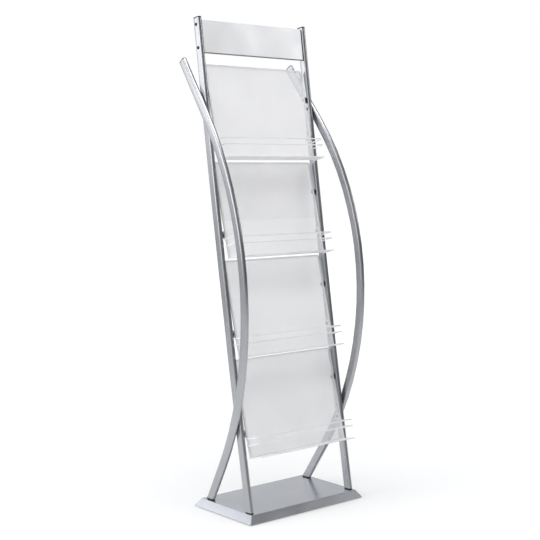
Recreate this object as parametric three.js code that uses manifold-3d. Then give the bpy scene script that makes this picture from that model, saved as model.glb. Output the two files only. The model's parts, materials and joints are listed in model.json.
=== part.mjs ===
// Free-standing periodical display rack: two leaning uprights and two curved
// bows of flat-oval tube on a weighted base, four tilted sheet trays with wire
// guards, and a folded header panel. Millimetres, +Z up, front towards -Y.
import * as THREE from 'three';
import { mergeVertices } from 'three/addons/utils/BufferGeometryUtils.js';
import Module from 'manifold-3d';

const wasm = await Module();
wasm.setup();

// Fits
const GAP = 0.3;
const HOLE_CLEARANCE = 0.35;

// Flat-oval tube shared by the uprights and the bows
const TUBE_DEPTH = 30;
const TUBE_THICK = 15;
const TUBE_WALL = 1.5;
const CAP_FLANGE = 3;
const CAP_ROUND = 1;
const CAP_PLUG = 10;
const FOOT_PLUG = 18;
const FOOT_FLANGE = 3;
const FOOT_INSET = 0.6;

// Trays: one bent sheet each, with a floor ledge, side flanges and ears
const TRAY_COUNT = 4;
const TRAY_WIDTH = 396;
const TRAY_HEIGHT = 302;
const TRAY_SHEET = 1;
const TRAY_BEND = 2.2;
const TRAY_CORNER = 9;
const TRAY_FLANGE = 5;
const TRAY_FRONT_OF_AXIS = 23;
const TRAY_EXTRA_TILT = 5.2;
const LOWEST_TRAY_RISE = 165;
const EAR_WIDTH = 22;
const EAR_MARGIN = 9;
const LOWER_EAR_RISE = 76;
const UPPER_EAR_RISE = 205;
const UPPER_EAR_REACH = 9;
const FIXING_CLEARANCE = 3;

// Openwork of a tray's sheet: a plain grid that stands for its fine mesh
const OPENING_COLUMNS = 8;
const OPENING_ROWS = 6;
const OPENING_SHARE = 0.54;
const OPENWORK_MARGIN = 10;

// Guards: three bent wires to a tray, the lowest along the ledge's edge
const WIRE_DIAMETER = 4;
const WIRE_REACH = 46.5;
const WIRE_BEND = 6;
const MIDDLE_WIRE_RISE = 40;
const TOP_WIRE_RISE = 60;

// Base: a folded cover with bevelled sides over a ballast plate on four pads
const BASE_DEPTH = 280;
const BASE_HEIGHT = 26;
const BASE_BEVEL = 17;
const BASE_SHEET = 1.5;
const BASE_SIDE_MARGIN = 2.5;
const FLOOR_GAP = 2;
const BALLAST_MARGIN = 1;
const BALLAST_THICK = 12;
const PAD_DIAMETER = 30;
const PAD_TAPER = 3;
const PAD_FROM_FOOT = 40;
const PAD_FROM_EDGE = 32;

// Uprights: feet at the front of the base, leaning back in a shallow arc
const UPRIGHT_TOP_Z = 1523;
const UPRIGHT_FOOT_SET = 21;
const UPRIGHT_TRAY_GAP = 3;
const UPRIGHT_SPLAY = 5;
const UPRIGHT_SETBACK = 241;
const UPRIGHT_SAG = 7.5;

// Bows: two straight legs meeting in a wide bend in front of the uprights
const BOW_FOOT_SET = 28;
const BOW_FOOT_INSET = 5;
const BOW_CORNER_Y = -315;
const BOW_CORNER_Z = 703;
const BOW_RADIUS = 954;
const BOW_TOP_DROP = 127;
const BOW_TOP_BEHIND = 83;
const CROSSING_GAP = 1.5;

// Header: a tray of thin sheet, folded back on all four sides
const HEADER_HEIGHT = 100;
const HEADER_DEPTH = 15;
const HEADER_SHEET = 1.2;
const HEADER_CORNER = 2;
const HEADER_TOP_DROP = 4;
const HEADER_SIDE_GAP = 2.5;
const HEADER_SCREW_INSET = 14;
const HEADER_TRAY_GAP = 27;

// Fasteners
const BOLT_DIAMETER = 5.5;
const BOLT_HEAD_DIAMETER = 10;
const BOLT_HEAD_HEIGHT = 3;
const BOLT_BITE = 6;
const COLLAR_DIAMETER = 16;
const WASHER_DIAMETER = 11;
const BASE_BOLT_DIAMETER = 6.5;
const BASE_BOLT_HEAD_DIAMETER = 13;
const BASE_BOLT_HEAD_HEIGHT = 5;
const BASE_BOLT_BITE = 11;

// Tessellation
const OVAL_SEGMENTS = 4;
const TURNED_SIDES = 8;
const WIRE_SIDES = 8;
const BEND_STEPS = 4;
const BOW_ARC_STEPS = 18;
const UPRIGHT_STEPS = 6;
const REACH = 4000;

// Sizes that follow from the ones above
const radians = THREE.MathUtils.degToRad;
const halfTube = TUBE_THICK / 2;
const trayHalf = TRAY_WIDTH / 2;
const wireHalf = trayHalf + GAP + WIRE_DIAMETER / 2;
const uprightFootX = trayHalf + UPRIGHT_TRAY_GAP + halfTube;
const baseTopHalfX = uprightFootX + halfTube + BASE_SIDE_MARGIN;
const baseTopHalfY = BASE_DEPTH / 2 - BASE_BEVEL;
const uprightFootY = UPRIGHT_FOOT_SET - baseTopHalfY;
const bowFootX = uprightFootX - BOW_FOOT_INSET;
const bowFootY = baseTopHalfY - BOW_FOOT_SET;
const bowTopZ = UPRIGHT_TOP_Z - BOW_TOP_DROP;
const headerZ = UPRIGHT_TOP_Z - HEADER_TOP_DROP - HEADER_HEIGHT;
const lowestTrayZ = BASE_HEIGHT + LOWEST_TRAY_RISE;
const topTrayZ = headerZ - HEADER_TRAY_GAP - TRAY_HEIGHT;
const trayPitch = (topTrayZ - lowestTrayZ) / (TRAY_COUNT - 1);
const holeDiameter = BOLT_DIAMETER + 2 * HOLE_CLEARANCE;
const baseHoleDiameter = BASE_BOLT_DIAMETER + 2 * HOLE_CLEARANCE;

const SIDES = [
  { name: 'left', sign: -1 },
  { name: 'right', sign: 1 },
];

const silverPaint = { color: 0xb9bbbf, roughness: 0.36, metalness: 0.65 };
const trayPaint = { color: 0xd3d4d8, roughness: 0.5, metalness: 0.3 };
const wirePaint = { color: 0xeceef2, roughness: 0.35, metalness: 0.2 };
const blackPlastic = { color: 0x1b1c1e, roughness: 0.55, metalness: 0 };
const blackSteel = { color: 0x2a2b2e, roughness: 0.4, metalness: 0.7 };
const rawSteel = { color: 0x6b6d70, roughness: 0.6, metalness: 0.8 };
const rubber = { color: 0x202020, roughness: 0.85, metalness: 0 };

// Conversions between three.js geometry and solids
function toSolid(geometry) {
  const bare = geometry.clone();
  bare.deleteAttribute('normal');
  bare.deleteAttribute('uv');
  const merged = mergeVertices(bare, 1e-4);
  const corners = [];
  for (let i = 0; i < merged.index.count; i += 3) {
    const [a, b, c] = [0, 1, 2].map((k) => merged.index.getX(i + k));
    if (a !== b && b !== c && c !== a) {
      corners.push(a, b, c);
    }
  }
  return new wasm.Manifold(new wasm.Mesh({
    numProp: 3,
    vertProperties: new Float32Array(merged.attributes.position.array),
    triVerts: new Uint32Array(corners),
  }));
}

function toGeometry(solid) {
  const mesh = solid.getMesh();
  const geometry = new THREE.BufferGeometry();
  geometry.setAttribute('position', new THREE.BufferAttribute(mesh.vertProperties, 3));
  geometry.setIndex(new THREE.BufferAttribute(mesh.triVerts, 1));
  geometry.computeVertexNormals();
  return geometry;
}

function cutBy(solid, cutters) {
  return cutters.reduce((left, cutter) => left.subtract(cutter), solid);
}

function addMesh(group, name, solid, look) {
  const mesh = new THREE.Mesh(toGeometry(solid), new THREE.MeshStandardMaterial(look));
  mesh.name = name;
  group.add(mesh);
  return mesh;
}

function block(x0, x1, y0, y1, z0, z1) {
  const geometry = new THREE.BoxGeometry(Math.abs(x1 - x0), y1 - y0, z1 - z0);
  geometry.translate((x0 + x1) / 2, (y0 + y1) / 2, (z0 + z1) / 2);
  return toSolid(geometry);
}

function slab(z0, z1) {
  return block(-REACH, REACH, -REACH, REACH, z0, z1);
}

// A turned piece along X: its profile lists [distance from the middle of the
// rack, radius] outwards, and the sign puts it on the left or the right
function turnedX(sign, profile, y, z) {
  const points = profile.map(([x, radius]) => new THREE.Vector2(radius, x));
  const geometry = new THREE.LatheGeometry(points, TURNED_SIDES);
  geometry.rotateZ(-sign * Math.PI / 2);
  geometry.translate(0, y, z);
  return toSolid(geometry);
}

function holeX(sign, from, to, y, z) {
  const radius = holeDiameter / 2;
  return turnedX(sign, [[from, 0], [from, radius], [to, radius], [to, 0]], y, z);
}

// A domed screw head on the given seat; 'way' points out of the material
function headProfile(seat, way) {
  const face = seat + way * GAP;
  const radius = BOLT_HEAD_DIAMETER / 2;
  return [
    [face, radius],
    [face + way * BOLT_HEAD_HEIGHT * 0.45, radius * 0.93],
    [face + way * BOLT_HEAD_HEIGHT * 0.85, radius * 0.62],
    [face + way * BOLT_HEAD_HEIGHT, radius * 0.25],
    [face + way * BOLT_HEAD_HEIGHT, 0],
  ];
}

// A shank from one place to another, with a collar that fills a space
function shankProfile(from, to, collarFrom, collarTo, collarDiameter) {
  const shank = BOLT_DIAMETER / 2;
  const collar = collarDiameter / 2;
  return [
    [from, shank],
    [collarFrom + GAP, shank],
    [collarFrom + GAP, collar],
    [collarTo - GAP, collar],
    [collarTo - GAP, shank],
    [to, shank],
  ];
}

// A path through given points, with one cross-section on each point
class PointPath extends THREE.Curve {
  constructor(points) {
    super();
    this.points = points;
  }

  get steps() {
    return this.points.length - 1;
  }

  getUtoTmapping(u) {
    return u;
  }

  getPoint(t, target = new THREE.Vector3()) {
    const place = Math.min(Math.max(t, 0), 1) * this.steps;
    const index = Math.min(Math.floor(place), this.steps - 1);
    return target.lerpVectors(this.points[index], this.points[index + 1], place - index);
  }

  getTangent(t, target = new THREE.Vector3()) {
    const index = Math.round(t * this.steps);
    const before = this.points[Math.max(index - 1, 0)];
    const here = this.points[index];
    const after = this.points[Math.min(index + 1, this.steps)];
    const arriving = here.clone().sub(before).normalize();
    const leaving = after.clone().sub(here).normalize();
    return target.addVectors(arriving, leaving).normalize();
  }
}

function sweep(shape, path) {
  return toSolid(new THREE.ExtrudeGeometry(shape, {
    steps: path.steps,
    extrudePath: path,
    curveSegments: OVAL_SEGMENTS,
  }));
}

// A flat oval with its long side along Y, drawn in by an inset
function ovalShape(inset) {
  const radius = halfTube - inset;
  const reach = TUBE_DEPTH / 2 - halfTube;
  const shape = new THREE.Shape();
  shape.absarc(0, reach, radius, 0, Math.PI, false);
  shape.absarc(0, -reach, radius, Math.PI, 2 * Math.PI, false);
  shape.closePath();
  return shape;
}

function tubeShape() {
  const shape = ovalShape(0);
  shape.holes.push(new THREE.Path(ovalShape(TUBE_WALL).getPoints(OVAL_SEGMENTS)));
  return shape;
}

// Centre line of an upright
function uprightAt(z) {
  const t = (z - BASE_HEIGHT) / (UPRIGHT_TOP_Z - BASE_HEIGHT);
  return {
    x: uprightFootX + UPRIGHT_SPLAY * t,
    y: uprightFootY + UPRIGHT_SETBACK * t + 4 * UPRIGHT_SAG * t * (1 - t),
  };
}

function uprightLean(z) {
  const step = 1;
  return Math.atan2(uprightAt(z + step).y - uprightAt(z - step).y, 2 * step);
}

function uprightPath(sign) {
  const points = [];
  for (let i = 0; i <= UPRIGHT_STEPS; i += 1) {
    const z = (UPRIGHT_TOP_Z * i) / UPRIGHT_STEPS;
    const centre = uprightAt(z);
    points.push(new THREE.Vector3(sign * centre.x, centre.y, z));
  }
  return new PointPath(points);
}

// Centre line of a bow in side view, in (y, z): a leg, a wide bend, a leg
function bowOutline() {
  const foot = new THREE.Vector2(bowFootY, BASE_HEIGHT);
  const corner = new THREE.Vector2(BOW_CORNER_Y, BOW_CORNER_Z);
  const top = new THREE.Vector2(uprightAt(bowTopZ).y + BOW_TOP_BEHIND, bowTopZ);
  const toFoot = foot.clone().sub(corner);
  const toTop = top.clone().sub(corner);
  const half = Math.abs(toFoot.angleTo(toTop)) / 2;
  const shorter = Math.min(toFoot.length(), toTop.length());
  const radius = Math.min(BOW_RADIUS, 0.95 * shorter * Math.tan(half));
  toFoot.normalize();
  toTop.normalize();
  const tangent = radius / Math.tan(half);
  const middle = toFoot.clone().add(toTop).normalize();
  const centre = corner.clone().addScaledVector(middle, radius / Math.sin(half));
  const low = corner.clone().addScaledVector(toFoot, tangent);
  const high = corner.clone().addScaledVector(toTop, tangent);
  const footSlope = toFoot.x / toFoot.y;
  const topSlope = toTop.x / toTop.y;
  return { centre, radius, low, high, footSlope, topSlope };
}

const bow = bowOutline();

function bowY(z) {
  if (z < bow.low.y) {
    return bow.low.x + (z - bow.low.y) * bow.footSlope;
  }
  if (z > bow.high.y) {
    return bow.high.x + (z - bow.high.y) * bow.topSlope;
  }
  const rise = (z - bow.centre.y) / bow.radius;
  return bow.centre.x - bow.radius * Math.sqrt(1 - rise * rise);
}

// Height at which a bow passes beside its upright, between two heights
function crossingHeight(from, to) {
  const ahead = (z) => Math.sign(bowY(z) - uprightAt(z).y);
  let low = from;
  let high = to;
  for (let i = 0; i < 60; i += 1) {
    const middle = (low + high) / 2;
    if (ahead(middle) === ahead(low)) {
      low = middle;
    } else {
      high = middle;
    }
  }
  return (low + high) / 2;
}

const crossings = [
  { name: 'lower', z: crossingHeight(BASE_HEIGHT, bow.centre.y) },
  { name: 'upper', z: crossingHeight(bow.centre.y, bowTopZ) },
];

// A bow lies in a plane through its foot and past the outside of the upright
// at both crossings
function bowPlane() {
  const beside = TUBE_THICK + CROSSING_GAP;
  const [low, high] = crossings.map(({ z }) => ({ y: bowY(z), z, x: uprightAt(z).x + beside }));
  const matrix = new THREE.Matrix3().set(
    1, bowFootY, BASE_HEIGHT,
    1, low.y, low.z,
    1, high.y, high.z,
  );
  return new THREE.Vector3(bowFootX, low.x, high.x).applyMatrix3(matrix.invert());
}

const plane = bowPlane();

function bowX(z) {
  return plane.x + plane.y * bowY(z) + plane.z * z;
}

function bowPath(sign) {
  const heights = [0];
  const first = Math.asin((bow.low.y - bow.centre.y) / bow.radius);
  const last = Math.asin((bow.high.y - bow.centre.y) / bow.radius);
  for (let i = 0; i <= BOW_ARC_STEPS; i += 1) {
    const angle = first + ((last - first) * i) / BOW_ARC_STEPS;
    heights.push(bow.centre.y + bow.radius * Math.sin(angle));
  }
  heights.push(bowTopZ);
  return new PointPath(heights.map((z) => new THREE.Vector3(sign * bowX(z), bowY(z), z)));
}

const rack = new THREE.Group();
const baseGroup = new THREE.Group();
const frameGroup = new THREE.Group();
rack.add(baseGroup, frameGroup);

// Base
function bevelledBlock(halfX, halfY, z0, z1, bevel) {
  const shape = new THREE.Shape();
  shape.moveTo(-1, -1);
  shape.lineTo(1, -1);
  shape.lineTo(1, 1);
  shape.lineTo(-1, 1);
  shape.closePath();
  const geometry = new THREE.ExtrudeGeometry(shape, { depth: 1, bevelEnabled: false });
  const position = geometry.attributes.position;
  for (let i = 0; i < position.count; i += 1) {
    const top = Math.round(position.getZ(i));
    const x = position.getX(i) * (halfX - bevel * top);
    const y = position.getY(i) * (halfY - bevel * top);
    position.setXYZ(i, x, y, z0 + (z1 - z0) * top);
  }
  return toSolid(geometry);
}

function barZ(bottomDiameter, topDiameter, z0, z1, x, y) {
  const geometry = new THREE.CylinderGeometry(
    topDiameter / 2,
    bottomDiameter / 2,
    z1 - z0,
    TURNED_SIDES,
  );
  geometry.rotateX(Math.PI / 2);
  geometry.translate(x, y, (z0 + z1) / 2);
  return toSolid(geometry);
}

const feet = { upright: { x: uprightFootX, y: uprightFootY }, bow: { x: bowFootX, y: bowFootY } };
const slope = BASE_BEVEL / (BASE_HEIGHT - FLOOR_GAP);
const wallAcross = BASE_SHEET * Math.hypot(1, slope);
const coverInside = BASE_HEIGHT - BASE_SHEET;
const coverHalfX = baseTopHalfX + BASE_BEVEL;
const coverHalfY = baseTopHalfY + BASE_BEVEL;
const coverOuter = bevelledBlock(coverHalfX, coverHalfY, FLOOR_GAP, BASE_HEIGHT, BASE_BEVEL);
const coverInner = bevelledBlock(
  coverHalfX - wallAcross + slope,
  coverHalfY - wallAcross + slope,
  FLOOR_GAP - 1,
  coverInside,
  slope * (coverInside - FLOOR_GAP + 1),
);
const baseHoles = [];
SIDES.forEach(({ sign }) => {
  Object.values(feet).forEach(({ x, y }) => {
    baseHoles.push(barZ(baseHoleDiameter, baseHoleDiameter, 0, BASE_HEIGHT + 1, sign * x, y));
  });
});
const cover = cutBy(coverOuter.subtract(coverInner), baseHoles);
addMesh(baseGroup, 'base_cover', cover, silverPaint);

const ballastTop = coverInside - GAP;
const ballastBottom = ballastTop - BALLAST_THICK;
const ballastHalfX = baseTopHalfX - wallAcross - BALLAST_MARGIN;
const ballastHalfY = baseTopHalfY - wallAcross - BALLAST_MARGIN;
const ballast = block(
  -ballastHalfX,
  ballastHalfX,
  -ballastHalfY,
  ballastHalfY,
  ballastBottom,
  ballastTop,
);
addMesh(baseGroup, 'base_ballast_plate', cutBy(ballast, baseHoles), rawSteel);

SIDES.forEach(({ name, sign }) => {
  [['front', -1], ['rear', 1]].forEach(([end, way]) => {
    const x = sign * (bowFootX - PAD_FROM_FOOT);
    const y = way * (BASE_DEPTH / 2 - PAD_FROM_EDGE);
    const pad = barZ(PAD_DIAMETER - 2 * PAD_TAPER, PAD_DIAMETER, 0, ballastBottom - GAP, x, y);
    addMesh(baseGroup, `foot_pad_${end}_${name}`, pad, rubber);
  });
});

// Trays: each has its own leaning frame, front face at y = 0, floor at z = 0
function trayFrame(index) {
  const z = topTrayZ - index * trayPitch;
  const lean = uprightLean(z + TRAY_HEIGHT / 2) + radians(TRAY_EXTRA_TILT);
  const group = new THREE.Group();
  group.position.set(0, uprightAt(z).y - TRAY_FRONT_OF_AXIS, z);
  group.rotation.x = -lean;
  group.updateMatrixWorld(true);
  return group;
}

function placeIn(frame, depth, rise) {
  return new THREE.Vector3(0, depth, rise).applyMatrix4(frame.matrixWorld);
}

// How far behind a tray's face the upright's axis runs at a given rise
function axisBehind(frame, rise) {
  let depth = 0;
  for (let i = 0; i < 12; i += 1) {
    const place = placeIn(frame, depth, rise);
    depth += uprightAt(place.z).y - place.y;
  }
  return depth;
}

// A fixing sits further up the sheet where a crossing bolt would meet it
function clearRise(frame, rise) {
  const spacing = (COLLAR_DIAMETER + BOLT_HEAD_DIAMETER) / 2 + FIXING_CLEARANCE;
  const climb = Math.cos(frame.rotation.x);
  return crossings.reduce((clear, { z }) => {
    const above = placeIn(frame, 0, clear).z - z;
    return Math.abs(above) < spacing ? clear + (spacing - above) / climb : clear;
  }, rise);
}

function trayFixings(frame) {
  const lower = clearRise(frame, LOWER_EAR_RISE);
  const upper = clearRise(frame, UPPER_EAR_RISE);
  const fixings = [
    { name: 'lower', depth: axisBehind(frame, lower), rise: lower },
    { name: 'upper', depth: UPPER_EAR_REACH, rise: upper },
  ];
  fixings.forEach((fixing) => {
    fixing.place = placeIn(frame, fixing.depth, fixing.rise);
    fixing.inner = uprightAt(fixing.place.z).x - halfTube;
  });
  return fixings;
}

// A tab folded back from the sheet, rounded about its hole
function earShape(depth, rise) {
  const round = EAR_WIDTH / 2;
  const tip = depth + EAR_MARGIN;
  const from = Math.max(tip - round, TRAY_SHEET);
  const shape = new THREE.Shape();
  shape.moveTo(TRAY_SHEET / 2, rise - round);
  shape.lineTo(from, rise - round);
  shape.absellipse(from, rise, tip - from, round, -Math.PI / 2, Math.PI / 2, false, 0);
  shape.lineTo(TRAY_SHEET / 2, rise + round);
  shape.closePath();
  return shape;
}

// A side profile drawn in (y, z) becomes a plate from x0 to x1
function plateX(shape, x0, x1) {
  const geometry = new THREE.ExtrudeGeometry(shape, {
    depth: Math.abs(x1 - x0),
    bevelEnabled: false,
    curveSegments: 4,
  });
  geometry.rotateX(Math.PI / 2);
  geometry.rotateZ(Math.PI / 2);
  geometry.translate(Math.min(x0, x1), 0, 0);
  return toSolid(geometry);
}

function traySheet() {
  const ledge = WIRE_REACH - WIRE_DIAMETER / 2 - GAP;
  const bend = TRAY_SHEET - TRAY_BEND;
  const profile = new THREE.Shape();
  profile.moveTo(-ledge, 0);
  profile.lineTo(bend, 0);
  profile.absarc(bend, TRAY_BEND, TRAY_BEND, -Math.PI / 2, 0, false);
  profile.lineTo(TRAY_SHEET, TRAY_HEIGHT);
  profile.lineTo(0, TRAY_HEIGHT);
  profile.lineTo(0, TRAY_BEND);
  profile.absarc(bend, TRAY_BEND, TRAY_BEND - TRAY_SHEET, 0, -Math.PI / 2, true);
  profile.lineTo(-ledge, TRAY_SHEET);
  profile.closePath();
  return plateX(profile, -trayHalf, trayHalf);
}

// What is cut away to round a top corner of the sheet
function topCornerCutter(sign) {
  const x = sign * (trayHalf - TRAY_CORNER);
  const z = TRAY_HEIGHT - TRAY_CORNER;
  const edge = sign * (trayHalf + 1);
  const square = block(x, edge, -TRAY_SHEET, 2 * TRAY_SHEET, z, TRAY_HEIGHT + 1);
  const disc = new THREE.CylinderGeometry(TRAY_CORNER, TRAY_CORNER, 6 * TRAY_SHEET, 24);
  disc.translate(x, 0, z);
  return square.subtract(toSolid(disc));
}

// What is cut away to round a corner of the ledge inside the wire's bend
function ledgeCornerCutter(sign) {
  const x = sign * (wireHalf - WIRE_BEND);
  const y = WIRE_BEND - WIRE_REACH;
  const edge = sign * (trayHalf + 1);
  const radius = WIRE_BEND - WIRE_DIAMETER / 2 - GAP;
  const square = block(x, edge, -WIRE_REACH, y, -TRAY_SHEET, 2 * TRAY_SHEET);
  const disc = new THREE.CylinderGeometry(radius, radius, 6 * TRAY_SHEET, 16);
  disc.rotateX(Math.PI / 2);
  disc.translate(x, y, 0);
  return square.subtract(toSolid(disc));
}

// What is cut away for the sheet's openwork
function openworkCutter() {
  const columnStep = (TRAY_WIDTH - 2 * OPENWORK_MARGIN) / OPENING_COLUMNS;
  const rowStep = (TRAY_HEIGHT - 2 * OPENWORK_MARGIN) / OPENING_ROWS;
  const halfX = (columnStep * OPENING_SHARE) / 2;
  const halfZ = (rowStep * OPENING_SHARE) / 2;
  const openings = [];
  for (let column = 0; column < OPENING_COLUMNS; column += 1) {
    const x = OPENWORK_MARGIN - trayHalf + (column + 0.5) * columnStep;
    for (let row = 0; row < OPENING_ROWS; row += 1) {
      const z = OPENWORK_MARGIN + (row + 0.5) * rowStep;
      openings.push(
        block(x - halfX, x + halfX, -TRAY_SHEET, 2 * TRAY_SHEET, z - halfZ, z + halfZ),
      );
    }
  }
  return wasm.Manifold.compose(openings);
}

function traySolid(fixings) {
  const flangeTop = TRAY_HEIGHT - TRAY_CORNER - 1;
  let solid = traySheet().subtract(openworkCutter());
  SIDES.forEach(({ sign }) => {
    const outer = sign * trayHalf;
    const inner = sign * (trayHalf - TRAY_SHEET);
    const flange = block(inner, outer, TRAY_SHEET / 2, TRAY_FLANGE, TRAY_BEND + 1, flangeTop);
    solid = cutBy(solid, [topCornerCutter(sign), ledgeCornerCutter(sign)]).add(flange);
    fixings.forEach(({ depth, rise }) => {
      const hole = holeX(sign, trayHalf - TRAY_SHEET - 1, trayHalf + 1, depth, rise);
      solid = solid.add(plateX(earShape(depth, rise), inner, outer)).subtract(hole);
    });
  });
  return solid;
}

// One guard wire: forward along one side, across the front and back again
function wirePath(rise) {
  const half = wireHalf;
  const points = [new THREE.Vector3(-half, TRAY_FLANGE, rise)];
  SIDES.forEach(({ sign }) => {
    const start = sign < 0 ? Math.PI : 1.5 * Math.PI;
    for (let i = 0; i <= BEND_STEPS; i += 1) {
      const angle = start + (Math.PI / 2) * (i / BEND_STEPS);
      const x = sign * (half - WIRE_BEND) + WIRE_BEND * Math.cos(angle);
      const y = WIRE_BEND - WIRE_REACH + WIRE_BEND * Math.sin(angle);
      points.push(new THREE.Vector3(x, y, rise));
    }
  });
  points.push(new THREE.Vector3(half, TRAY_FLANGE, rise));
  return new PointPath(points);
}

function wireShape() {
  const points = [];
  for (let i = 0; i < WIRE_SIDES; i += 1) {
    const angle = (2 * Math.PI * i) / WIRE_SIDES;
    const point = new THREE.Vector2(Math.cos(angle), Math.sin(angle));
    points.push(point.multiplyScalar(WIRE_DIAMETER / 2));
  }
  return new THREE.Shape(points);
}

const wires = [
  { name: 'floor', rise: TRAY_SHEET / 2 },
  { name: 'middle', rise: MIDDLE_WIRE_RISE },
  { name: 'top', rise: TOP_WIRE_RISE },
];
const uprightHoles = [];
for (let index = 0; index < TRAY_COUNT; index += 1) {
  const frame = trayFrame(index);
  const label = `tray_${index + 1}`;
  const fixings = trayFixings(frame);
  rack.add(frame);
  addMesh(frame, `${label}_panel`, traySolid(fixings), trayPaint);
  wires.forEach(({ name, rise }) => {
    const wire = sweep(wireShape(), wirePath(rise));
    addMesh(frame, `${label}_wire_${name}`, wire, wirePaint);
  });
  fixings.forEach((fixing) => {
    const seat = trayHalf - TRAY_SHEET;
    const tip = fixing.inner + TUBE_WALL + BOLT_BITE;
    const profile = [
      ...headProfile(seat, -1).reverse(),
      ...shankProfile(seat - GAP, tip, trayHalf, fixing.inner, COLLAR_DIAMETER),
      [tip, 0],
    ];
    SIDES.forEach(({ name, sign }) => {
      const bolt = turnedX(sign, profile, fixing.depth, fixing.rise);
      addMesh(frame, `${label}_bolt_${fixing.name}_${name}`, bolt, blackSteel);
    });
    const from = fixing.inner - TUBE_WALL;
    uprightHoles.push({ from, to: fixing.inner + halfTube, place: fixing.place });
  });
}

// Header
const headerMiddle = headerZ + HEADER_HEIGHT / 2;
const headerHalf = uprightAt(headerMiddle).x - halfTube - HEADER_SIDE_GAP;
const headerFrame = new THREE.Group();
headerFrame.position.set(0, uprightAt(headerZ).y - HEADER_DEPTH / 2, headerZ);
headerFrame.rotation.x = -uprightLean(headerMiddle);
headerFrame.updateMatrixWorld(true);
rack.add(headerFrame);

function roundedBlock(inset, y0, y1) {
  const corner = Math.max(HEADER_CORNER - inset, GAP);
  const x = headerHalf - inset - corner;
  const low = inset + corner;
  const high = HEADER_HEIGHT - inset - corner;
  const shape = new THREE.Shape();
  shape.absarc(x, high, corner, 0, Math.PI / 2, false);
  shape.absarc(-x, high, corner, Math.PI / 2, Math.PI, false);
  shape.absarc(-x, low, corner, Math.PI, 1.5 * Math.PI, false);
  shape.absarc(x, low, corner, 1.5 * Math.PI, 2 * Math.PI, false);
  shape.closePath();
  const geometry = new THREE.ExtrudeGeometry(shape, {
    depth: y1 - y0,
    bevelEnabled: false,
    curveSegments: 2,
  });
  geometry.rotateX(Math.PI / 2);
  geometry.translate(0, y1, 0);
  return toSolid(geometry);
}

const headerTray = roundedBlock(0, 0, HEADER_DEPTH)
  .subtract(roundedBlock(HEADER_SHEET, HEADER_SHEET, HEADER_DEPTH + 1));
const headerFixings = [
  { name: 'lower', rise: HEADER_SCREW_INSET },
  { name: 'upper', rise: HEADER_HEIGHT - HEADER_SCREW_INSET },
];
const headerHoles = [];
headerFixings.forEach((fixing) => {
  const depth = HEADER_DEPTH / 2;
  const place = placeIn(headerFrame, depth, fixing.rise);
  const centre = uprightAt(place.z).x;
  const seat = centre + halfTube;
  const tip = headerHalf - HEADER_SHEET - BOLT_BITE;
  const profile = [
    [tip, 0],
    ...shankProfile(tip, seat + GAP, headerHalf, centre - halfTube, WASHER_DIAMETER),
    ...headProfile(seat, 1),
  ];
  SIDES.forEach(({ name, sign }) => {
    const screw = turnedX(sign, profile, depth, fixing.rise);
    addMesh(headerFrame, `header_screw_${fixing.name}_${name}`, screw, blackSteel);
    headerHoles.push(holeX(sign, tip, headerHalf + 1, depth, fixing.rise));
  });
  uprightHoles.push({ from: centre - TUBE_THICK, to: centre + TUBE_THICK, place });
});
addMesh(headerFrame, 'header_panel', cutBy(headerTray, headerHoles), silverPaint);

// Crossing bolts, from inside the rack through the upright into the bow
const bowHoles = [];
crossings.forEach(({ name, z }) => {
  const place = new THREE.Vector3(0, bowY(z), z);
  const upright = uprightAt(z).x;
  const seat = upright - halfTube;
  const bowInner = bowX(z) - halfTube;
  const tip = bowInner + TUBE_WALL + BOLT_BITE;
  const shank = BOLT_DIAMETER / 2;
  const profile = [
    ...headProfile(seat, -1).reverse(),
    [seat - GAP, shank],
    [tip, shank],
    [tip, 0],
  ];
  SIDES.forEach(({ name: side, sign }) => {
    const bolt = turnedX(sign, profile, place.y, z);
    addMesh(frameGroup, `crossing_bolt_${name}_${side}`, bolt, blackSteel);
  });
  uprightHoles.push({ from: upright - TUBE_THICK, to: upright + TUBE_THICK, place });
  bowHoles.push({ from: bowInner - TUBE_WALL, to: bowInner + halfTube, place });
});

// Tubes, each with an end cap and a foot that bolts it down to the base
function capSolid() {
  const flange = new THREE.ExtrudeGeometry(ovalShape(CAP_ROUND), {
    depth: CAP_FLANGE - CAP_ROUND,
    bevelEnabled: true,
    bevelThickness: CAP_ROUND,
    bevelSize: CAP_ROUND,
    bevelSegments: 1,
    curveSegments: OVAL_SEGMENTS,
  });
  flange.translate(0, 0, GAP);
  const plug = new THREE.ExtrudeGeometry(ovalShape(TUBE_WALL + GAP), {
    depth: CAP_PLUG + CAP_FLANGE / 2,
    bevelEnabled: false,
    curveSegments: OVAL_SEGMENTS,
  });
  plug.translate(0, 0, -CAP_PLUG);
  return toSolid(flange).intersect(slab(GAP, REACH)).add(toSolid(plug));
}

function endMatrix(path) {
  const last = path.steps;
  const { normals, binormals, tangents } = path.computeFrenetFrames(last, false);
  const matrix = new THREE.Matrix4().makeBasis(normals[last], binormals[last], tangents[last]);
  return matrix.setPosition(path.points[last]);
}

function footSolid(path, x, y) {
  const tubeBottom = BASE_HEIGHT + FOOT_FLANGE + 2 * GAP;
  const seat = ballastBottom - GAP;
  const flange = sweep(ovalShape(FOOT_INSET), path)
    .intersect(slab(BASE_HEIGHT + GAP, tubeBottom - GAP));
  const plug = sweep(ovalShape(TUBE_WALL + GAP), path)
    .intersect(slab(BASE_HEIGHT + GAP, tubeBottom + FOOT_PLUG));
  const shank = barZ(
    BASE_BOLT_DIAMETER,
    BASE_BOLT_DIAMETER,
    seat - GAP,
    BASE_HEIGHT + BASE_BOLT_BITE,
    x,
    y,
  );
  const head = barZ(
    BASE_BOLT_HEAD_DIAMETER,
    BASE_BOLT_HEAD_DIAMETER,
    seat - BASE_BOLT_HEAD_HEIGHT,
    seat,
    x,
    y,
  );
  return flange.add(plug).add(shank).add(head);
}

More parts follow.
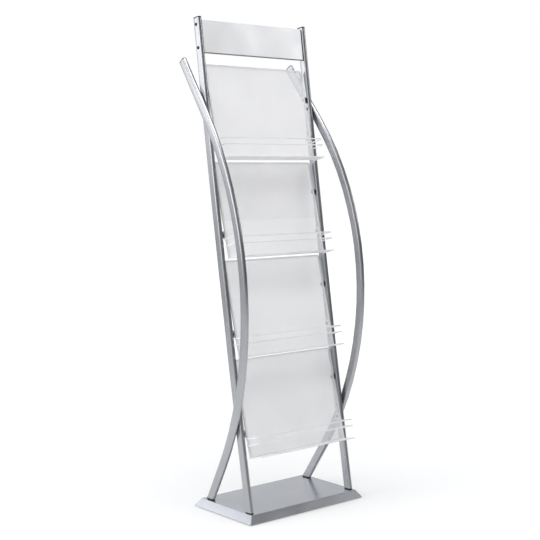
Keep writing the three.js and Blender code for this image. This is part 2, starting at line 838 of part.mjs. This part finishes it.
function addTube(kind, side, path, holes) {
  const { name, sign } = side;
  const tubeBottom = BASE_HEIGHT + FOOT_FLANGE + 2 * GAP;
  const cutters = holes.map(({ from, to, place }) => holeX(sign, from, to, place.y, place.z));
  const tube = sweep(tubeShape(), path).subtract(slab(-REACH, tubeBottom));
  addMesh(frameGroup, `${kind}_${name}`, cutBy(tube, cutters), silverPaint);
  const cap = addMesh(frameGroup, `${kind}_cap_${name}`, capSolid(), blackPlastic);
  cap.applyMatrix4(endMatrix(path));
  const foot = footSolid(path, sign * feet[kind].x, feet[kind].y);
  addMesh(frameGroup, `${kind}_foot_${name}`, foot, blackPlastic);
}

SIDES.forEach((side) => {
  addTube('upright', side, uprightPath(side.sign), uprightHoles);
  addTube('bow', side, bowPath(side.sign), bowHoles);
});

// The origin lies on the floor, in the middle of the ground that the rack covers
const bounds = new THREE.Box3().setFromObject(rack, true);
rack.position.y = -(bounds.min.y + bounds.max.y) / 2;

export default rack;
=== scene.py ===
import json
import math

import bmesh
import bpy
import numpy as np
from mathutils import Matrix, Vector


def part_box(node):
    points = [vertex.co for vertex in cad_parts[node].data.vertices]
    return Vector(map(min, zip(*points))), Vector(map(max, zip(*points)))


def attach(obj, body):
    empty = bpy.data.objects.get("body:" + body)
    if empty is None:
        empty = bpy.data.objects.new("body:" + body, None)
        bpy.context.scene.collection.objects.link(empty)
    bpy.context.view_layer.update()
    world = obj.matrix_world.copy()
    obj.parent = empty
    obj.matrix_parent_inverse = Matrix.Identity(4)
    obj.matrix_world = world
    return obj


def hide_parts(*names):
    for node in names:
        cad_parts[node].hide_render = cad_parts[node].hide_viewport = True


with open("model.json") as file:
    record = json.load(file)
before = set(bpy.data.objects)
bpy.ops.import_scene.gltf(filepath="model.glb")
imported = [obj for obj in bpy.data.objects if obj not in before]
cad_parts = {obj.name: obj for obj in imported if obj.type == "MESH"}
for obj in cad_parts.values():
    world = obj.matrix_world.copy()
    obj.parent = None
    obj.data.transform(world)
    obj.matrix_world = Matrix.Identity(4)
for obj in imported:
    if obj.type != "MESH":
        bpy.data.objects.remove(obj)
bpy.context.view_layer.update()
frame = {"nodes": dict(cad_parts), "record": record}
nodes = frame["nodes"]
BODY = "root"

# Camera, fitted to the photograph
CAMERA_PLACE = (-2.404, -2.7965, 1.072)
CAMERA_AZIMUTH = math.radians(40.595)
CAMERA_PITCH = math.radians(5.10)
SENSOR_WIDTH = 36.0
CAMERA_LENS = 77.78
CAMERA_REACH = 100.0

# Perforated field of a tray sheet, in metres
HOLE_PITCH = 0.0024
HOLE_RADIUS = 0.00075
FIELD_HALF_WIDTH = 0.192
FIELD_FROM_FLOOR = 0.0055
FIELD_ROWS = 140
SHEET = 0.001
CELL_SIDES = 6
ROW_STEP = HOLE_PITCH * math.sqrt(3) / 2

# Dressing of the solids
SHARP_ANGLE = math.radians(32)
FLAT_ANGLE = math.radians(0.2)
MERGE_DISTANCE = 1e-6
FINE_EDGE = 0.0003
EDGE_STEPS = 2
NORMAL_WEIGHT = 80
EDGE_WIDTHS = {"base_cover": 0.002, "header_panel": 0.0012}

# Turned screws and bolts
TURNED = ("bolt_", "screw_")
TURNED_SEGMENTS = 36
SMALLEST_RADIUS = 1e-5
SOCKET_RADIUS = 0.00118
SOCKET_DEPTH = 0.0016

# Paint: the depth of its grain, and where painted shade darkens the header's colour as its
# surface turns from the front
GRAIN_DEPTH = 0.0002
HEADER_FRONT = (0.0, -0.985, 0.17)
HEADER_PAINTED_EDGE_SHADE = 0.12
EDGE_SHADE_FULL_BELOW = 0.8
EDGE_SHADE_NONE_ABOVE = 0.97

# Floor: its shades, and its glow to the camera near the rack and far from it
FLOOR_HALF = 15.0
FLOOR_SHADE = 0.9
FLOOR_SHADE_SEEN = 0.7
FLOOR_ROUGHNESS = 0.9
FLOOR_SHINE = 0.1
FLOOR_GLOW_NEAR = 0.2
FLOOR_GLOW_FAR = 0.68
GLOW_FROM = 0.2
GLOW_TO = 5.5

# Surroundings: bright on one side, dim on the other
BRIGHT_SIDE = (-0.5, 0.85, 0.25)
BRIGHT_LEVEL = 0.95
DIM_LEVEL = 0.12
DIM_UNTIL = -0.8
BRIGHT_FROM = 0.9
SKY_TINT = (0.97, 0.985, 1.0, 1.0)
WHITE = (1.0, 1.0, 1.0, 1.0)

# Lights: name, place, width and height, radiance
LIGHT_AIM = (0.0, 0.0, 0.8)
LIGHTS = (
    ("key_left", (-3.0, 0.4, 2.2), (1.7, 2.8), 2.2),
    ("back_left", (-2.9, 3.1, 1.8), (1.6, 0.7), 1.9),
    ("fill_right", (8.4, -7.9, 5.5), (3.2, 2.4), 4.6),
    ("overhead", (-0.1, -0.5, 4.0), (2.6, 2.6), 3.8),
)


# Materials

def new_group(name, inputs, outputs):
    """An empty shader group with its sockets, and its input and output nodes."""
    group = bpy.data.node_groups.new(name, "ShaderNodeTree")
    for label, kind, value in inputs:
        socket = group.interface.new_socket(label, in_out="INPUT", socket_type=kind)
        socket.default_value = value
    for label, kind in outputs:
        group.interface.new_socket(label, in_out="OUTPUT", socket_type=kind)
    start = group.nodes.new("NodeGroupInput")
    end = group.nodes.new("NodeGroupOutput")
    return group, start, end


def noise_node(tree, coords, scale, detail):
    node = tree.nodes.new("ShaderNodeTexNoise")
    node.inputs["Scale"].default_value = scale
    node.inputs["Detail"].default_value = detail
    tree.links.new(coords, node.inputs["Vector"])
    return node.outputs["Fac"]


def map_range(tree, value, low, high, start=0.3, stop=0.7):
    node = tree.nodes.new("ShaderNodeMapRange")
    node.inputs["From Min"].default_value = start
    node.inputs["From Max"].default_value = stop
    for label, limit in (("To Min", low), ("To Max", high)):
        if isinstance(limit, float):
            node.inputs[label].default_value = limit
        else:
            tree.links.new(limit, node.inputs[label])
    tree.links.new(value, node.inputs["Value"])
    return node.outputs["Result"]


def multiply(tree, first, second):
    node = tree.nodes.new("ShaderNodeMath")
    node.operation = "MULTIPLY"
    tree.links.new(first, node.inputs[0])
    tree.links.new(second, node.inputs[1])
    return node.outputs["Value"]


def finish_group():
    """Coat with cloudy tone, fine flake and a grained surface, at set scales."""
    group, start, end = new_group(
        "coated_surface",
        [
            ("Colour", "NodeSocketColor", (0.5, 0.5, 0.5, 1.0)),
            ("Cloud Scale", "NodeSocketFloat", 9.0),
            ("Grain Scale", "NodeSocketFloat", 900.0),
            ("Darkest", "NodeSocketFloat", 0.95),
            ("Lightest", "NodeSocketFloat", 1.04),
            ("Smoothest", "NodeSocketFloat", 0.3),
            ("Roughest", "NodeSocketFloat", 0.42),
        ],
        [
            ("Colour", "NodeSocketColor"),
            ("Roughness", "NodeSocketFloat"),
            ("Height", "NodeSocketFloat"),
        ],
    )
    coords = group.nodes.new("ShaderNodeTexCoord").outputs["Object"]
    clouds = noise_node(group, coords, 1.0, 3.0)
    group.links.new(start.outputs["Cloud Scale"], clouds.node.inputs["Scale"])
    flakes = group.nodes.new("ShaderNodeTexVoronoi")
    group.links.new(coords, flakes.inputs["Vector"])
    group.links.new(start.outputs["Grain Scale"], flakes.inputs["Scale"])
    darkest = start.outputs["Darkest"]
    lightest = start.outputs["Lightest"]
    tone = map_range(group, clouds, darkest, lightest)
    sparkle = map_range(group, flakes.outputs["Distance"], lightest, darkest, 0.0, 0.8)
    shade = multiply(group, tone, sparkle)
    tint = group.nodes.new("ShaderNodeVectorMath")
    tint.operation = "SCALE"
    group.links.new(start.outputs["Colour"], tint.inputs[0])
    group.links.new(shade, tint.inputs["Scale"])
    group.links.new(tint.outputs["Vector"], end.inputs["Colour"])
    gloss = map_range(group, clouds, start.outputs["Smoothest"], start.outputs["Roughest"])
    group.links.new(gloss, end.inputs["Roughness"])
    grain = noise_node(group, coords, 1.0, 2.0)
    group.links.new(start.outputs["Grain Scale"], grain.node.inputs["Scale"])
    group.links.new(grain, end.inputs["Height"])
    return group


COAT = finish_group()


def coated(name, colour, metallic, rough, grain_scale, bump, shine=0.5):
    """A material with the coat group's colour, roughness and grain."""
    material = bpy.data.materials.new(name)
    material.use_nodes = True
    tree = material.node_tree
    shader = tree.nodes["Principled BSDF"]
    shader.inputs["Metallic"].default_value = metallic
    shader.inputs["Specular IOR Level"].default_value = shine
    group = tree.nodes.new("ShaderNodeGroup")
    group.node_tree = COAT
    group.inputs["Colour"].default_value = (*colour, 1.0)
    group.inputs["Grain Scale"].default_value = grain_scale
    group.inputs["Smoothest"].default_value = rough[0]
    group.inputs["Roughest"].default_value = rough[1]
    surface = tree.nodes.new("ShaderNodeBump")
    surface.inputs["Strength"].default_value = bump
    surface.inputs["Distance"].default_value = GRAIN_DEPTH
    tree.links.new(group.outputs["Colour"], shader.inputs["Base Color"])
    tree.links.new(group.outputs["Roughness"], shader.inputs["Roughness"])
    tree.links.new(group.outputs["Height"], surface.inputs["Height"])
    tree.links.new(surface.outputs["Normal"], shader.inputs["Normal"])
    return material


def paint_edge_shade(material, front, shade):
    """Paints shade into the colour: a darker tone where a surface turns away from its front and
    back.
    """
    tree = material.node_tree
    shader = tree.nodes["Principled BSDF"]
    colour = shader.inputs["Base Color"].links[0].from_socket
    turned = tree.nodes.new("ShaderNodeVectorMath")
    turned.operation = "DOT_PRODUCT"
    turned.inputs[1].default_value = front
    geometry = tree.nodes.new("ShaderNodeNewGeometry")
    tree.links.new(geometry.outputs["Normal"], turned.inputs[0])
    either_side = tree.nodes.new("ShaderNodeMath")
    either_side.operation = "ABSOLUTE"
    tree.links.new(turned.outputs["Value"], either_side.inputs[0])
    # painted shade: the colour is fully darkened below the lower facing and untouched above the
    # upper
    level = map_range(tree, either_side.outputs["Value"], shade, 1.0, EDGE_SHADE_FULL_BELOW, EDGE_SHADE_NONE_ABOVE)
    tint = tree.nodes.new("ShaderNodeVectorMath")
    tint.operation = "SCALE"
    tree.links.new(colour, tint.inputs[0])
    tree.links.new(level, tint.inputs["Scale"])
    tree.links.new(tint.outputs["Vector"], shader.inputs["Base Color"])


SILVER = coated("silver_paint", (0.43, 0.437, 0.458), 0.92, (0.22, 0.28), 2600.0, 0.02)
BASE = coated("base_paint", (0.50, 0.512, 0.55), 0.8, (0.18, 0.22), 2600.0, 0.012)
HEADER = coated("header_paint", (0.74, 0.75, 0.765), 0.55, (0.32, 0.40), 2600.0, 0.02)
# painted shade: the header's colour is darkened along its top, bottom and side edges
paint_edge_shade(HEADER, HEADER_FRONT, HEADER_PAINTED_EDGE_SHADE)
TRAY = coated("tray_paint", (0.89, 0.888, 0.905), 0.1, (0.42, 0.52), 1400.0, 0.08)
WIRE = coated("wire_paint", (0.90, 0.90, 0.915), 0.1, (0.30, 0.40), 1400.0, 0.06)
BLACK_STEEL = coated("black_fastener", (0.022, 0.022, 0.025), 0.3, (0.32, 0.45), 1200.0, 0.15)
BLACK_PLASTIC = coated(
    "black_plastic", (0.010, 0.010, 0.012), 0.0, (0.5, 0.62), 1500.0, 0.3, shine=0.12
)
RUBBER = coated("pad_rubber", (0.018, 0.018, 0.018), 0.0, (0.7, 0.85), 900.0, 0.4)
RAW_STEEL = coated("raw_steel", (0.25, 0.25, 0.26), 0.9, (0.4, 0.6), 500.0, 0.2)
MATERIALS = {
    "silver_paint": SILVER,
    "tray_paint": TRAY,
    "wire_paint": WIRE,
    "black_fastener": BLACK_STEEL,
    "black_plastic": BLACK_PLASTIC,
    "pad_rubber": RUBBER,
    "raw_steel": RAW_STEEL,
}
SPECIAL_PAINT = {"base_cover": BASE, "header_panel": HEADER}
SLOTS = {part["node"]: part["material_slot"] for part in frame["record"]["subparts"]}


# Pieces

def add_piece(name, mesh, node):
    """A piece of the visual model, painted and fixed like the node it stands for."""
    piece = bpy.data.objects.new(name, mesh)
    bpy.context.scene.collection.objects.link(piece)
    piece.data.materials.clear()
    piece.data.materials.append(MATERIALS[SLOTS[node]])
    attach(piece, BODY)
    return piece


def smooth_faces(shape):
    """Smooth shading, apart from open and sharp edges."""
    for face in shape.faces:
        face.smooth = True
    for edge in shape.edges:
        edge.smooth = len(edge.link_faces) == 2 and edge.calc_face_angle(0.0) < SHARP_ANGLE


def soften(piece, width):
    """Rounds a piece's sharp edges and evens its shading."""
    bevel = piece.modifiers.new("edges", "BEVEL")
    bevel.width = width
    bevel.segments = EDGE_STEPS
    bevel.limit_method = "ANGLE"
    bevel.angle_limit = SHARP_ANGLE
    bevel.harden_normals = True
    even = piece.modifiers.new("normals", "WEIGHTED_NORMAL")
    even.mode = "FACE_AREA"
    even.weight = NORMAL_WEIGHT
    even.keep_sharp = True


def solid_copy(node):
    """A copy of a solid with its flat faces joined up."""
    shape = bmesh.new()
    shape.from_mesh(nodes[node].data)
    bmesh.ops.remove_doubles(shape, verts=shape.verts, dist=MERGE_DISTANCE)
    bmesh.ops.dissolve_limit(
        shape,
        angle_limit=FLAT_ANGLE,
        verts=shape.verts,
        edges=shape.edges,
    )
    return shape


def dress(node, width):
    """A smooth-shaded copy of a solid with its edges softened."""
    shape = solid_copy(node)
    smooth_faces(shape)
    mesh = bpy.data.meshes.new(node + "_dressed")
    shape.to_mesh(mesh)
    shape.free()
    piece = add_piece(node + "_dressed", mesh, node)
    soften(piece, width)
    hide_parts(node)
    return piece


def turned_profile(node):
    """A turned solid's middle and its (x, radius) outline, in order along its axis."""
    low, high = (Vector(corner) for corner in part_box(node))
    axis = (low + high) / 2
    found = set()
    for vertex in nodes[node].data.vertices:
        radius = math.hypot(vertex.co.y - axis.y, vertex.co.z - axis.z)
        found.add((round(vertex.co.x, 5), round(radius, 5)))
    places = sorted({x for x, _ in found})
    profile = []
    for x in places:
        radii = sorted(radius for place, radius in found if place == x)
        if profile and abs(radii[-1] - profile[-1][1]) < abs(radii[0] - profile[-1][1]):
            radii.reverse()
        profile += [(x, radius) for radius in radii]
    return axis, profile


def hex_share(angle):
    """How far a hexagon's side lies from its middle, as a share of its corner's reach."""
    sixth = math.pi / 3
    return math.cos(sixth / 2) / math.cos(angle % sixth - sixth / 2)


def turn(node):
    """A finely turned piece with a hexagon socket in its head."""
    axis, profile = turned_profile(node)
    rings = [(x, radius, False) for x, radius in profile if radius > SMALLEST_RADIUS]
    if rings[0][1] < rings[-1][1]:
        rings.reverse()
    head = rings[-1][0]
    inward = math.copysign(SOCKET_DEPTH, rings[0][0] - head)
    rings += [(head, SOCKET_RADIUS, True), (head + inward, SOCKET_RADIUS, True)]
    rows = len(rings)
    points = []
    for x, radius, hexagonal in rings:
        for k in range(TURNED_SEGMENTS):
            angle = 2 * math.pi * k / TURNED_SEGMENTS
            reach = radius * hex_share(angle) if hexagonal else radius
            points.append((x, axis.y + reach * math.cos(angle), axis.z + reach * math.sin(angle)))
    faces = []
    for row in range(rows - 1):
        for k in range(TURNED_SEGMENTS):
            after = (k + 1) % TURNED_SEGMENTS
            here = row * TURNED_SEGMENTS
            there = here + TURNED_SEGMENTS
            faces.append((here + k, here + after, there + after, there + k))
    faces.append(tuple(reversed(range(TURNED_SEGMENTS))))
    faces.append(tuple(range((rows - 1) * TURNED_SEGMENTS, rows * TURNED_SEGMENTS)))
    mesh = bpy.data.meshes.new(node + "_turned")
    mesh.from_pydata(points, [], faces)
    shape = bmesh.new()
    shape.from_mesh(mesh)
    bmesh.ops.recalc_face_normals(shape, faces=shape.faces)
    smooth_faces(shape)
    shape.to_mesh(mesh)
    shape.free()
    piece = add_piece(node + "_turned", mesh, node)
    soften(piece, FINE_EDGE)
    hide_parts(node)


# Perforated trays

def perforated_field(first_row, end_row):
    """Points (across, up) and faces of some rows of six-sided cells, each with its hole."""
    columns = round(2 * FIELD_HALF_WIDTH / HOLE_PITCH)
    corner = HOLE_PITCH / math.sqrt(3)
    angles = [math.pi / 6 + 2 * math.pi * k / CELL_SIDES for k in range(CELL_SIDES)]
    ways = [(math.cos(angle), math.sin(angle)) for angle in angles]
    index = {}
    points = []
    faces = []

    def point(x, z):
        key = (round(x * 1e6), round(z * 1e6))
        if key not in index:
            index[key] = len(points)
            points.append((x, z))
        return index[key]

    for row in range(first_row, end_row):
        shifted = row % 2
        for column in range(columns + shifted):
            x = -FIELD_HALF_WIDTH + (column + 0.5 - 0.5 * shifted) * HOLE_PITCH
            z = FIELD_FROM_FLOOR + (row + 0.5) * ROW_STEP
            rim = [point(x + corner * across, z + corner * up) for across, up in ways]
            plain = row in (-1, FIELD_ROWS) or (shifted and column in (0, columns))
            if plain:
                faces.append(tuple(rim))
                continue
            first = len(points)
            points += [(x + HOLE_RADIUS * across, z + HOLE_RADIUS * up) for across, up in ways]
            for k in range(CELL_SIDES):
                after = (k + 1) % CELL_SIDES
                faces.append((rim[k], rim[after], first + after, first + k))
    return np.array(points), faces


FIELDS = {
    "lower": perforated_field(-1, FIELD_ROWS // 2),
    "upper": perforated_field(FIELD_ROWS // 2, FIELD_ROWS + 1),
}


def tray_axes(node):
    """Front normal, upward direction and corner point of a tray's leaning sheet."""
    front = max(
        (face for face in nodes[node].data.polygons if face.normal.y < -0.9),
        key=lambda face: face.area,
    )
    normal = Vector((0.0, front.normal.y, front.normal.z)).normalized()
    up = Vector((0.0, normal.z, -normal.y))
    corners = nodes[node].data.vertices
    face_place = normal.dot(front.center)
    floor_place = min(up.dot(vertex.co) for vertex in corners)
    return normal, up, normal * face_place + up * floor_place


def cut_window(shape, normal, up, origin):
    """Opens the sheet where the perforated field goes."""
    top = FIELD_FROM_FLOOR + FIELD_ROWS * ROW_STEP
    planes = [
        (Vector((FIELD_HALF_WIDTH, 0, 0)), Vector((1, 0, 0))),
        (Vector((-FIELD_HALF_WIDTH, 0, 0)), Vector((1, 0, 0))),
        (origin + up * FIELD_FROM_FLOOR, up),
        (origin + up * top, up),
    ]
    for place, direction in planes:
        everything = shape.verts[:] + shape.edges[:] + shape.faces[:]
        bmesh.ops.bisect_plane(shape, geom=everything, plane_co=place, plane_no=direction)
    inside = []
    for face in shape.faces:
        centre = face.calc_center_median()
        rise = up.dot(centre - origin)
        depth = normal.dot(origin - centre)
        across = abs(centre.x) < FIELD_HALF_WIDTH
        if across and FIELD_FROM_FLOOR < rise < top and -SHEET / 2 < depth < 1.5 * SHEET:
            inside.append(face)
    bmesh.ops.delete(shape, geom=inside, context="FACES")


def tray(node):
    """A tray's border, cut from its solid, and the two halves of its perforated field."""
    normal, up, origin = tray_axes(node)
    shape = solid_copy(node)
    cut_window(shape, normal, up, origin)
    smooth_faces(shape)
    rim = bpy.data.meshes.new(node + "_rim")
    shape.to_mesh(rim)
    shape.free()
    border = add_piece(node + "_rim", rim, node)
    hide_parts(node)
    middle = origin - normal * (SHEET / 2)
    for half, (flat, faces) in FIELDS.items():
        across = flat[:, 0:1] * np.array([[1.0, 0.0, 0.0]])
        points = np.array(middle) + across + flat[:, 1:2] * np.array([up])
        field = bpy.data.meshes.new(node + "_perforation_" + half)
        field.from_pydata(points.tolist(), [], faces)
        add_piece(node + "_perforation_" + half, field, node)


# All the pieces

for name in sorted(nodes):
    if name.endswith("_panel") and name.startswith("tray"):
        tray(name)
    elif any(word in name for word in TURNED):
        turn(name)
    else:
        piece = dress(name, EDGE_WIDTHS.get(name, FINE_EDGE))
        if name in SPECIAL_PAINT:
            piece.data.materials[0] = SPECIAL_PAINT[name]


# Stage

def matte(tree, shade):
    """A dull grey shader for the floor."""
    shader = tree.nodes.new("ShaderNodeBsdfPrincipled")
    shader.inputs["Base Color"].default_value = (shade, shade, shade, 1.0)
    shader.inputs["Roughness"].default_value = FLOOR_ROUGHNESS
    shader.inputs["Specular IOR Level"].default_value = FLOOR_SHINE
    return shader.outputs["BSDF"]


def floor_material():
    """Pale floor that reads as white to the camera and keeps soft shadows."""
    material = bpy.data.materials.new("floor")
    material.use_nodes = True
    tree = material.node_tree
    tree.nodes.clear()
    output = tree.nodes.new("ShaderNodeOutputMaterial")
    coords = tree.nodes.new("ShaderNodeTexCoord")
    distance = tree.nodes.new("ShaderNodeVectorMath")
    distance.operation = "LENGTH"
    level = tree.nodes.new("ShaderNodeMapRange")
    level.inputs["From Min"].default_value = GLOW_FROM
    level.inputs["From Max"].default_value = GLOW_TO
    level.inputs["To Min"].default_value = FLOOR_GLOW_NEAR
    level.inputs["To Max"].default_value = FLOOR_GLOW_FAR
    glow = tree.nodes.new("ShaderNodeEmission")
    seen = tree.nodes.new("ShaderNodeAddShader")
    mix = tree.nodes.new("ShaderNodeMixShader")
    path = tree.nodes.new("ShaderNodeLightPath")
    tree.links.new(coords.outputs["Object"], distance.inputs[0])
    tree.links.new(distance.outputs["Value"], level.inputs["Value"])
    tree.links.new(level.outputs["Result"], glow.inputs["Strength"])
    tree.links.new(matte(tree, FLOOR_SHADE_SEEN), seen.inputs[0])
    tree.links.new(glow.outputs["Emission"], seen.inputs[1])
    tree.links.new(path.outputs["Is Camera Ray"], mix.inputs["Fac"])
    tree.links.new(matte(tree, FLOOR_SHADE), mix.inputs[1])
    tree.links.new(seen.outputs["Shader"], mix.inputs[2])
    tree.links.new(mix.outputs["Shader"], output.inputs["Surface"])
    return material


def add_floor(half):
    """A square floor under the rack."""
    mesh = bpy.data.meshes.new("floor")
    corners = [(-half, -half, 0), (half, -half, 0), (half, half, 0), (-half, half, 0)]
    mesh.from_pydata(corners, [], [(0, 1, 2, 3)])
    mesh.materials.append(floor_material())
    floor = bpy.data.objects.new("floor", mesh)
    bpy.context.scene.collection.objects.link(floor)


def area_light(name, place, size, radiance):
    """A soft panel of set brightness that faces the middle of the rack."""
    data = bpy.data.lights.new(name, "AREA")
    data.shape = "RECTANGLE"
    data.size = size[0]
    data.size_y = size[1]
    data.energy = radiance * math.pi * size[0] * size[1]
    light = bpy.data.objects.new(name, data)
    light.location = place
    aim = Vector(LIGHT_AIM) - Vector(place)
    light.rotation_euler = aim.to_track_quat("-Z", "Y").to_euler()
    light.visible_camera = False
    bpy.context.scene.collection.objects.link(light)


def studio_world():
    """White to the camera; around the rack, bright behind and dim in front."""
    world = bpy.data.worlds.new("studio")
    bpy.context.scene.world = world
    world.use_nodes = True
    tree = world.node_tree
    tree.nodes.clear()
    path = tree.nodes.new("ShaderNodeLightPath")
    seen = tree.nodes.new("ShaderNodeBackground")
    seen.inputs["Color"].default_value = WHITE
    coords = tree.nodes.new("ShaderNodeTexCoord")
    facing = tree.nodes.new("ShaderNodeVectorMath")
    facing.operation = "DOT_PRODUCT"
    facing.inputs[1].default_value = Vector(BRIGHT_SIDE).normalized()
    level = tree.nodes.new("ShaderNodeMapRange")
    level.interpolation_type = "SMOOTHSTEP"
    level.inputs["From Min"].default_value = DIM_UNTIL
    level.inputs["From Max"].default_value = BRIGHT_FROM
    level.inputs["To Min"].default_value = DIM_LEVEL
    level.inputs["To Max"].default_value = BRIGHT_LEVEL
    around = tree.nodes.new("ShaderNodeBackground")
    around.inputs["Color"].default_value = SKY_TINT
    mix = tree.nodes.new("ShaderNodeMixShader")
    output = tree.nodes.new("ShaderNodeOutputWorld")
    tree.links.new(coords.outputs["Generated"], facing.inputs[0])
    tree.links.new(facing.outputs["Value"], level.inputs["Value"])
    tree.links.new(level.outputs["Result"], around.inputs["Strength"])
    tree.links.new(path.outputs["Is Camera Ray"], mix.inputs["Fac"])
    tree.links.new(around.outputs["Background"], mix.inputs[1])
    tree.links.new(seen.outputs["Background"], mix.inputs[2])
    tree.links.new(mix.outputs["Shader"], output.inputs["Surface"])


add_floor(FLOOR_HALF)
for light in LIGHTS:
    area_light(*light)
studio_world()


# Camera

camera_data = bpy.data.cameras.new("camera")
camera_data.sensor_width = SENSOR_WIDTH
camera_data.lens = CAMERA_LENS
camera_data.clip_end = CAMERA_REACH
camera = bpy.data.objects.new("camera", camera_data)
camera.location = CAMERA_PLACE
camera.rotation_euler = (math.pi / 2 - CAMERA_PITCH, 0.0, -CAMERA_AZIMUTH)
bpy.context.scene.collection.objects.link(camera)
bpy.context.scene.camera = camera
bpy.context.scene.view_settings.view_transform = "Standard"
